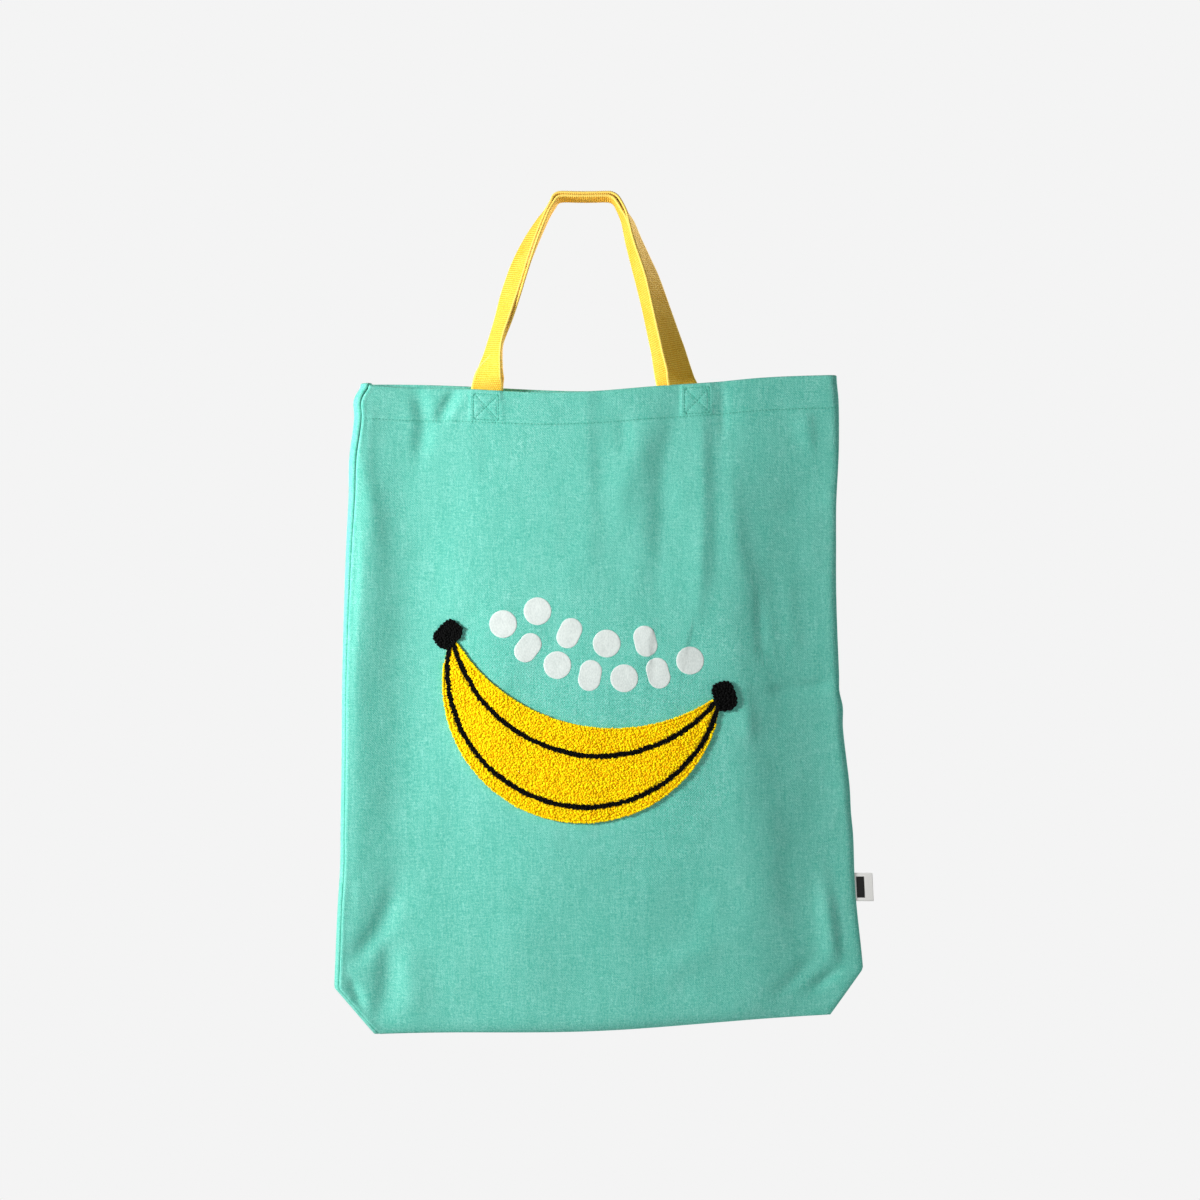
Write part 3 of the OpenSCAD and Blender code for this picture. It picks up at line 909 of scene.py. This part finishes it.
# x, y, z, turn and how squarely the cross-section stays to the mouth.
front_path = [sewn(left_f, 24, -1, 0), sewn(left_f, 12, -1, 0), sewn(left_f + 0.3, 4, -1, 1)]
front_path += [
    (-78.1, -4.5, -149.6, 8, 0.9), (-77.6, -4.9, -144, 26, 0.5), (-76.5, -5.4, -138, 37.5, 0.2),
    (-75.2, -5.8, -131, 47, 0), (-74.0, -5.7, -125, 54, 0), (-72.2, -5, -116, 60, 0),
    (-69.2, -4, -105, 62, 0), (-65.5, -3, -93, 60, 0), (-61.6, -2, -79, 57, 0),
    (-56.8, -1.2, -64, 56.5, 0), (-51.5, -0.6, -48.5, 60, 0), (-44, -0.2, -31, 67.5, 0),
    (-36.2, 0, -16, 76, 0), (-32.3, 0, -9.6, 81, 0), (-27.9, 0, -2.6, 85, 0), (-25.4, 0, 1.4, 88, 0),
    (-21.8, 0, 3.4, 90, 0), (-17, 0, 3.85, 90, 0), (-8.5, 0, 3.65, 90, 0), (0, 0, 3.55, 90, 0),
    (8.5, 0, 3.65, 90, 0), (17, 0, 3.85, 90, 0), (21.8, 0, 3.4, 90, 0), (26.2, 0, 1.2, 88, 0),
    (29.4, 0, -3.0, 87, 0), (33.2, 0, -9.6, 85, 0), (36.4, 0, -16, 79, 0), (41.8, 0, -32, 72, 0),
    (48.4, -0.3, -48.5, 67, 0), (53.9, -0.9, -63, 62, 0), (60.2, -2, -85, 54, 0),
    (66.9, -3.4, -108.6, 45, 0), (70.5, -4.3, -121.4, 39, 0), (74.6, -5, -136, 35, 0.1),
    (77, -4.8, -146, 22, 0.5),
]
front_path += [sewn(right_f - 9, 3, -1, 8), sewn(right_f - 1.5, 11, -1, 0), sewn(right_f, 24, -1, 0)]

back_path = [sewn(left_b, 24, 1, 180), sewn(left_b, 12, 1, 180), sewn(left_b + 0.2, 4, 1, 179)]
back_path += [
    (-78.2, 4.8, -149, 172, 0.9), (-77.6, 6.2, -144, 164, 0.5), (-75.9, 7.6, -138, 148, 0.2),
    (-73.2, 7.6, -131, 123, 0), (-69.6, 5.4, -122, 100, 0), (-66.7, 3.4, -114, 88, 0),
    (-62.9, 1.6, -105, 84.5, 0), (-58.3, 0.8, -93, 84, 0), (-53.6, 0.3, -79, 84, 0),
    (-48.9, 0, -64, 84.5, 0), (-43.9, 0, -48.5, 85, 0), (-37.4, 0, -31, 87.5, 0), (-31.1, 0, -16, 89, 0),
    (-28.2, 0, -9.6, 90, 0), (-24.5, 0, -3.6, 90, 0), (-22.6, 0, -0.6, 90, 0), (-20.0, 0, 0.95, 90, 0),
    (-16, 0, 1.4, 90, 0), (-8, 0, 1.2, 90, 0), (0, 0, 1.1, 90, 0), (8, 0, 1.2, 90, 0),
    (16, 0, 1.4, 90, 0), (20.2, 0, 0.95, 90, 0), (23.2, 0, -0.8, 90, 0), (25.6, 0, -4.4, 91, 0),
    (28.8, 0, -10.6, 93, 0), (31.8, 0.5, -17, 97, 0), (36.0, 1.2, -32, 102.5, 0),
    (40.8, 2.0, -48.5, 106, 0), (44.9, 2.4, -63, 107.5, 0), (50.4, 2.8, -85, 108, 0),
    (56.0, 3.4, -108.6, 111, 0), (60.2, 4.8, -121.4, 120, 0), (65.0, 5.9, -136, 137, 0.1),
    (69.3, 4.8, -146, 160, 0.5),
]
back_path += [sewn(right_b - 4, 3, 1, 177), sewn(right_b, 12, 1, 180), sewn(right_b, 24, 1, 180)]

front_webbing = strap("front_webbing", front_path, webbing)
back_webbing = strap("back_webbing", back_path, webbing)
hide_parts("front_handle", "front_left_strap_end", "front_right_strap_end")
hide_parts("back_handle", "back_left_strap_end", "back_right_strap_end")


# ------------------------------------------------------------------ crescent patch
PATCH_W, DROP_IN, DROP_OUT, PATCH_TURN = 219.0, 48.0, 126.0, rad(12.5)
PATCH_X, PATCH_Z = HANG_SHIFT - 10.0, -HANG_DROP - 227.0
RIDGES = {"upper": 0.30, "lower": 0.83}
PILE_BASE, PILE_TOP = 1.3, 2.5
PILE_H = PILE_TOP - PILE_BASE
TIP_OUT, TIP_UP, TIP_TURN = 2.8, -0.8, rad(30)
TIP_HALF_W, TIP_HALF_H, TIP_R = 9.0, 12.0, 7.0


def on_patch(x, y):
    """From the crescent's own plane to the bag's x, z."""
    c, s = math.cos(-PATCH_TURN), math.sin(-PATCH_TURN)
    return PATCH_X + x * c - y * s, PATCH_Z + x * s + y * c


def arc_radius(drop):
    return ((PATCH_W / 2) ** 2 + drop ** 2) / (2 * drop)


def arc_point(drop, t):
    """t from -1 at the left tip to 1 at the right tip, along the arc."""
    r = arc_radius(drop)
    full = math.asin(min(1, PATCH_W / 2 / r))
    if drop > PATCH_W / 2:
        full = math.pi - full
    a = t * full
    return r * np.sin(a), r - drop - r * np.cos(a)


def arc_length(drop):
    r = arc_radius(drop)
    full = math.asin(min(1, PATCH_W / 2 / r))
    return 2 * r * (math.pi - full if drop > PATCH_W / 2 else full)


def arc_distance(x, y, drop):
    r = arc_radius(drop)
    return np.hypot(x, y - (r - drop)) - r


def tip_distance(x, y, side):
    """Distance outside a tip, a rounded block; below 0 inside. The two tips mirror each other."""
    px, py = turned(x - side * (PATCH_W / 2 + TIP_OUT), y - TIP_UP, -side * TIP_TURN)
    qx, qy = np.abs(px) - TIP_HALF_W + TIP_R, np.abs(py) - TIP_HALF_H + TIP_R
    return np.hypot(np.maximum(qx, 0), np.maximum(qy, 0)) + np.minimum(np.maximum(qx, qy), 0) - TIP_R


def tips_distance(points):
    """Distance outside the nearer tip."""
    x, y = points[:, 0], points[:, 1]
    return np.minimum(tip_distance(x, y, -1), tip_distance(x, y, 1))


def ridge_drop(share):
    return DROP_IN + (DROP_OUT - DROP_IN) * share


def beside_arc(drop, t, out):
    """Points of an arc, moved outwards along its radius."""
    x, y = arc_point(drop, t)
    nx, ny = x, y - (arc_radius(drop) - drop)
    norm = np.hypot(nx, ny)
    return x + out * nx / norm, y + out * ny / norm


def base_sheet(xs, ys, height, skirt=-0.3):
    """Closed low slab over a grid of patch points: grids of x and y, shape (rows, cols)."""
    bx, bz = on_patch(xs, ys)
    return slab(front_at(bx, bz, height), front_at(bx, bz, skirt))


def loops(points, rng, size, tall, base):
    """Small rounded loops of yarn standing on the cloth, each leaning its own way."""
    n = len(points)
    x, y = points[:, 0], points[:, 1]
    bx, bz = on_patch(x, y)
    foot = front_at(bx, bz, base - 0.35)
    up = unit(front_at(bx, bz, base + 1) - front_at(bx, bz, base))
    g = rng.uniform(0, math.pi, n)
    long, short = size * rng.uniform(0.50, 0.66, n), size * rng.uniform(0.44, 0.54, n)
    high = tall * rng.uniform(0.72, 1.12, n)
    lean = rng.uniform(-0.35, 0.35, (n, 2))
    ex = unit(np.cross(up, np.array([0, 0, 1.0])))
    ez = np.cross(ex, up)
    a = ex * np.cos(g)[:, None] + ez * np.sin(g)[:, None]
    b = -ex * np.sin(g)[:, None] + ez * np.cos(g)[:, None]
    sway = a * lean[:, :1] + b * lean[:, 1:]
    around = 7
    rings = [(0.0, 0.92), (0.42, 1.0), (0.78, 0.74)]
    verts = []
    for h, r in rings:
        for k in range(around):
            q = 2 * math.pi * k / around
            p = foot + a * (long * r * math.cos(q))[:, None] + b * (short * r * math.sin(q))[:, None]
            p = p + up * (high * h)[:, None] + sway * (high * h)[:, None]
            verts.append(p)
    verts.append(foot + up * high[:, None] + sway * high[:, None])
    per = len(verts)
    verts = np.stack(verts, 1).reshape(-1, 3)
    faces = []
    for i in range(n):
        s = i * per
        for r in range(len(rings) - 1):
            for k in range(around):
                p, q = s + r * around + k, s + r * around + (k + 1) % around
                faces.append((p, q, q + around, p + around))
        last = s + (len(rings) - 1) * around
        for k in range(around):
            faces.append((last + k, last + (k + 1) % around, s + per - 1))
        faces.append(tuple(s + k for k in range(around))[::-1])
    tone = np.repeat(rng.uniform(0, 1, n), per)
    return verts, faces, tone


def pile_piece(name, node, material, base, points, rng, size, tall, base_h):
    verts, faces = base
    lv, lf, tone = loops(points, rng, size, tall, base_h)
    shift = len(verts)
    faces = faces + [tuple(i + shift for i in f) for f in lf]
    obj = make(name, np.concatenate([verts, lv]), faces, material)
    # The cloth under the loops gets tone 0.2, darker than most loops: painted shade between them.
    set_attribute(obj, "tone", np.concatenate([np.full(shift, 0.2), tone]))
    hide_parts(node)
    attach(obj, "bag")
    return obj


def crescent_points(rng, pitch):
    """Loop places over the crescent: rows along both edges, and a shaken hexagonal fill."""
    edge = []
    for drop, inward in ((DROP_IN, 1), (DROP_OUT, -1)):
        d = drop + inward * 0.9
        count = int(arc_length(d) / (pitch * 0.82))
        t = np.linspace(-1, 1, count) + rng.uniform(-0.3, 0.3, count) / count
        x, y = arc_point(d, t)
        edge.append(np.stack([x, y + rng.uniform(-0.25, 0.25, count)], -1))
    xs, ys = [], []
    row = 0
    y = -DROP_OUT
    while y < 4:
        x = np.arange(-PATCH_W / 2 - 6, PATCH_W / 2 + 6, pitch) + (row % 2) * pitch / 2
        xs.append(x)
        ys.append(np.full(len(x), y))
        y += pitch * 0.866
        row += 1
    x, y = np.concatenate(xs), np.concatenate(ys)
    x = x + rng.uniform(-0.34, 0.34, len(x)) * pitch
    y = y + rng.uniform(-0.34, 0.34, len(y)) * pitch
    inside = (arc_distance(x, y, DROP_OUT) < -2.2) & (arc_distance(x, y, DROP_IN) > 2.2)
    return np.concatenate(edge + [np.stack([x[inside], y[inside]], -1)])


def build_pile():
    spots = crescent_points(rng, 1.95)
    clear = tips_distance(spots) > 0.9
    for share in RIDGES.values():
        clear &= np.abs(arc_distance(spots[:, 0], spots[:, 1], ridge_drop(share))) > 2.35
    along = np.linspace(-0.985, 0.985, 110)
    rows = [arc_point(ridge_drop(share), along) for share in np.linspace(0.006, 0.994, 30)]
    xs, ys = np.array(rows).transpose(1, 0, 2)
    sheet = base_sheet(xs, ys, PILE_BASE)
    return pile_piece("yellow_loops", "patch_pile", yellow_pile,
                      sheet, spots[clear], rng, 2.05, PILE_H + 0.35, PILE_BASE)


def build_ridge(word, share):
    """A line of black loops, three abreast, along an arc of the crescent."""
    drop = ridge_drop(share)
    length = arc_length(drop)
    seed = 41 + len(word) + int(share * 10)
    t = np.linspace(-0.97, 0.97, 190)
    wobble = 0.35 * lattice_noise(t * length / 2, t * 0, 7, seed)
    gx, gy = beside_arc(drop, t, np.array([-1.4, -0.7, 0, 0.7, 1.4])[:, None] + wobble)
    lines = []
    for w in (-1.15, 0.05, 1.2):
        count = int(length / 1.75)
        t = np.linspace(-0.965, 0.965, count) + rng.uniform(-0.4, 0.4, count) / count
        off = w + rng.uniform(-0.5, 0.5, count) + 0.35 * lattice_noise(t * length / 2, t * 0, 7, seed)
        lines.append(np.stack(beside_arc(drop, t, off), -1))
    lines = np.concatenate(lines)
    keep = tips_distance(lines) > -2
    return pile_piece(f"{word}_ridge_loops", f"patch_{word}_ridge", black_pile,
                      base_sheet(gx, gy, PILE_BASE + 0.25), lines[keep], rng, 1.9, PILE_H + 0.5, PILE_BASE)


def build_tip(word, side):
    """A tuft of black loops over one tip of the crescent."""
    around, radii = 49, np.array([0.03, 0.4, 0.75, 0.93, 1.0])
    gx, gy = np.zeros((len(radii), around)), np.zeros((len(radii), around))
    cx, cy = side * (PATCH_W / 2 + TIP_OUT), TIP_UP
    for j, g in enumerate(np.linspace(0, 2 * math.pi, around)):
        lo, hi = 0.0, 30.0
        for _ in range(30):
            m = (lo + hi) / 2
            inside = tip_distance(cx + m * math.cos(g), cy + m * math.sin(g), side) < -0.6
            lo, hi = (m, hi) if inside else (lo, m)
        gx[:, j], gy[:, j] = cx + radii * lo * math.cos(g), cy + radii * lo * math.sin(g)
    grid = np.mgrid[-16:16:2.05, -16:16:1.8]
    px = cx + (grid[0] + (np.arange(grid.shape[2]) % 2) * 1.0).ravel() + rng.uniform(-0.5, 0.5, grid[0].size)
    py = cy + grid[1].ravel() + rng.uniform(-0.5, 0.5, grid[0].size)
    keep = tip_distance(px, py, side) < -0.5
    rim = np.stack([gx[-1] * 0.97 + cx * 0.03, gy[-1] * 0.97 + cy * 0.03], -1)[::2]
    dots = np.concatenate([np.stack([px[keep], py[keep]], -1), rim])
    return pile_piece(f"{word}_tip_loops", f"patch_{word}_tip", black_pile,
                      base_sheet(gx, gy, PILE_BASE + 0.5), dots, rng, 2.1, PILE_H + 0.8, PILE_BASE + 0.1)


rng = np.random.RandomState(7)
bag_pieces.append(build_pile())
for word, share in RIDGES.items():
    bag_pieces.append(build_ridge(word, share))
for word, side in (("left", -1), ("right", 1)):
    bag_pieces.append(build_tip(word, side))


# ------------------------------------------------------------------ printed marks
PRINT_X, PRINT_Z = HANG_SHIFT + 16.0, -HANG_DROP - 118.0
MARK = 22.0


def mark_outline(k, count):
    """Round marks and long ones in turn, as radius by angle; the long ones stand along the row's radius."""
    g = np.linspace(0, 2 * math.pi, count, endpoint=False)
    if k % 2 == 0:
        return np.stack([np.cos(g), np.sin(g)], -1) * MARK / 2
    r, h = MARK * 0.4, MARK * 0.16
    return np.stack([r * np.cos(g), r * np.sin(g) + np.where(np.sin(g) >= 0, h, -h)], -1)


def print_row(name, node, radius, first, last, count):
    verts, faces = [], []
    sides = 56
    rings = [(0.0, 0.22), (0.3, 0.22), (0.6, 0.22), (0.86, 0.22), (0.965, 0.2), (1.0, 0.1), (1.006, -0.25)]
    for k in range(count):
        g = rad(first + (last - first) * k / (count - 1))
        cx, cz = PRINT_X + radius * math.cos(g), PRINT_Z + radius * math.sin(g)
        turn = g - math.pi / 2
        o = mark_outline(k, sides)
        base = len(verts)
        for s, h in rings[1:]:
            dx, dz = turned(o[:, 0], o[:, 1], turn)
            verts += list(front_at(cx + dx * s, cz + dz * s, h))
        verts.append(front_at(np.array([cx]), np.array([cz]), 0.22)[0])
        faces += grid_faces(len(rings) - 1, sides, base, wrap=True)
        top = len(verts) - 1
        for j in range(sides):
            faces.append((base + j, base + (j + 1) % sides, top))
        low = base + (len(rings) - 2) * sides
        faces.append(tuple(low + j for j in range(sides)))
    obj = make(name, verts, faces, ink)
    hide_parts(node)
    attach(obj, "bag")
    return obj


bag_pieces.append(print_row("upper_marks", "print_upper_row", 93.0, 226, 283, 4))
bag_pieces.append(print_row("lower_marks", "print_lower_row", 120.0, 220, 298, 7))


# ------------------------------------------------------------------ side tag
TAG_V, TAG_H, TAG_HALF_T = 0.788, 22.5, 0.14


def build_tag():
    """A ribbon from inside the seam out, round a soft fold and back."""
    v = np.array(TAG_V)
    box_lo, box_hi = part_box("side_tag")
    z_mid = (box_lo.z + box_hi.z) / 2 / MM
    x0 = float(right_x(v)) - 2.0
    lean = math.atan2(float(right_x(v + 0.05) - right_x(v - 0.05)), 0.1 * BAG_H)
    reach = 16.2
    path = []
    for t in np.linspace(0, 1, 16):
        path.append((reach * t, -0.34 - 0.28 * math.sin(math.pi * t)))
    for a in np.linspace(-75, 75, 7):
        path.append((reach + 0.34 * math.cos(rad(a)), 0.34 * math.sin(rad(a))))
    for t in np.linspace(1, 0, 16):
        path.append((reach * t, 0.34 + 0.28 * math.sin(math.pi * t)))
    p = np.array(path)
    way = unit(np.gradient(p, axis=0))
    out = np.stack([way[:, 1], -way[:, 0]], -1)
    arc = run_length(p)
    total = arc[-1]
    outer, inner, strip = [], [], []
    for h in np.linspace(-1, 1, 24):
        z = h * TAG_H / 2
        for k in range(len(p)):
            q = p[k] + out[k] * TAG_HALF_T
            r = p[k] - out[k] * TAG_HALF_T
            curl = 0.5 * (q[0] / reach) ** 2 + 0.25 * h * (q[0] / reach)
            for target, e in ((outer, q), (inner, r)):
                target.append((x0 + e[0] - z * math.sin(lean), e[1] - curl, z_mid + z))
            strip.append((z * MM, min(arc[k], total - arc[k]) * MM, 0))
    shape = (24, len(p), 3)
    verts, faces = slab(np.array(outer).reshape(shape), np.array(inner).reshape(shape))
    obj = make("side_ribbon_tag", verts, faces, tag_cloth)
    set_attribute(obj, "strip", strip + strip, "FLOAT_VECTOR")
    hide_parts("side_tag")
    return obj, x0


tag, tag_x = build_tag()

# ------------------------------------------------------------------ bodies and baked transforms
for piece in bag_pieces:
    if piece.parent is None:
        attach(piece, "bag")
for piece in (front_cloth, back_cloth):
    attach(piece, "bag")
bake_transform(front_webbing)
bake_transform(back_webbing)
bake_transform(tag)

# ------------------------------------------------------------------ floor, lights and camera
scene = bpy.context.scene
scene.view_settings.view_transform = "Standard"
scene.view_settings.look = "None"


PALE = hexcol("f4f4f4")


def floor_material():
    """A pale floor; the camera sees it mostly as one plain tone, shadows and all."""
    m = Nodes("floor")
    color = (0.82, 0.82, 0.815, 1)
    darker = tuple(0.985 * k for k in color[:3]) + (1,)
    m.finish(m.ramp(m.noise(m.place(), 3.0, 2.0, 0.5), [(0.3, darker), (0.7, color)]), 0.9, specular=0.1)
    glow = m.add("ShaderNodeEmission")
    m.put(glow.inputs["Color"], PALE)
    ray = m.add("ShaderNodeLightPath")
    pick = m.add("ShaderNodeMixShader")
    m.link(m.mul(ray.outputs["Is Camera Ray"], 0.85), pick.inputs[0])
    m.link(m.bsdf.outputs[0], pick.inputs[1])
    m.link(glow.outputs[0], pick.inputs[2])
    m.link(pick.outputs[0], m.out.inputs[0])
    return m.mat


bpy.ops.mesh.primitive_circle_add(vertices=160, radius=2.3, fill_type="NGON", location=(0, 0, -1.5))
floor = bpy.context.active_object
floor.name = "floor"
floor.data.materials.append(floor_material())

world = bpy.data.worlds.new("studio")
scene.world = world
world.use_nodes = True
wt = world.node_tree
wt.nodes.clear()
w_out = wt.nodes.new("ShaderNodeOutputWorld")
seen = wt.nodes.new("ShaderNodeBackground")
lit = wt.nodes.new("ShaderNodeBackground")
choose = wt.nodes.new("ShaderNodeMixShader")
ray = wt.nodes.new("ShaderNodeLightPath")
seen.inputs["Color"].default_value = PALE
lit.inputs["Color"].default_value = (1, 1, 1, 1)
lit.inputs["Strength"].default_value = 0.133
wt.links.new(ray.outputs["Is Camera Ray"], choose.inputs[0])
wt.links.new(lit.outputs[0], choose.inputs[1])
wt.links.new(seen.outputs[0], choose.inputs[2])
wt.links.new(choose.outputs[0], w_out.inputs[0])


def area_light(name, place, aim, size, power):
    data = bpy.data.lights.new(name, "AREA")
    data.shape = "DISK"
    data.size = size
    data.energy = power
    obj = bpy.data.objects.new(name, data)
    scene.collection.objects.link(obj)
    obj.location = place
    way = Vector(aim) - Vector(place)
    obj.rotation_euler = way.to_track_quat("-Z", "Y").to_euler()


area_light("key", (-1.08, -0.54, -0.10), (0.0, 0, -0.40), 0.30, 24.2)
area_light("fill", (1.2, -1.9, -0.1), (0.0, 0, -0.4), 1.4, 9.7)
area_light("back", (1.1, 1.5, 0.3), (0.0, 0, -0.38), 1.0, 46.0)

camera = bpy.data.cameras.new("camera")
camera.lens = 60
camera.sensor_width = 36
cam = bpy.data.objects.new("camera", camera)
scene.collection.objects.link(cam)
cam.location = (0.012, -1.6, -0.32)
cam.rotation_euler = (rad(90), 0, 0)
scene.camera = cam
